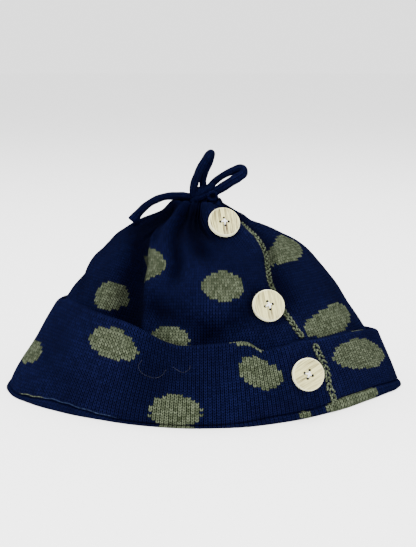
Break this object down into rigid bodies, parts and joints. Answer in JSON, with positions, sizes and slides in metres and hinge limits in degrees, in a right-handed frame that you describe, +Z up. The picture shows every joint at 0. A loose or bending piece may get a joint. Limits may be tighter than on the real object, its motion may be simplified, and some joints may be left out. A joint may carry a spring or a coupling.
{
  "type": "knitted cuff hat with drawstring crown",
  "caption": "Knitted wool hat with a turned-up cuff, polka dots, wooden buttons along a stitched seam and a bow that gathers the crown.",
  "frame": {"origin": "middle of the hat's rim, on the surface that it stands on", "axes": "+Z up through the gathered crown, +X along the hat's wide side to the viewer's right, the front with the buttons looks along -Y"},
  "size_m": [0.2418, 0.1978, 0.144],
  "materials": {
    "crown_knit": "navy wool knit with sage green dots, matt",
    "cuff_knit": "navy wool knit with sage green dots, matt",
    "button_wood": "pale bare wood, satin",
    "cord_knit": "navy knitted cord, matt"
  },
  "bodies": {
    "root": {"crown": "crown_knit", "cuff": "cuff_knit", "button_top": "button_wood", "button_middle": "button_wood", "button_low": "button_wood", "drawstring": "cord_knit"}
  },
  "joints": []
}
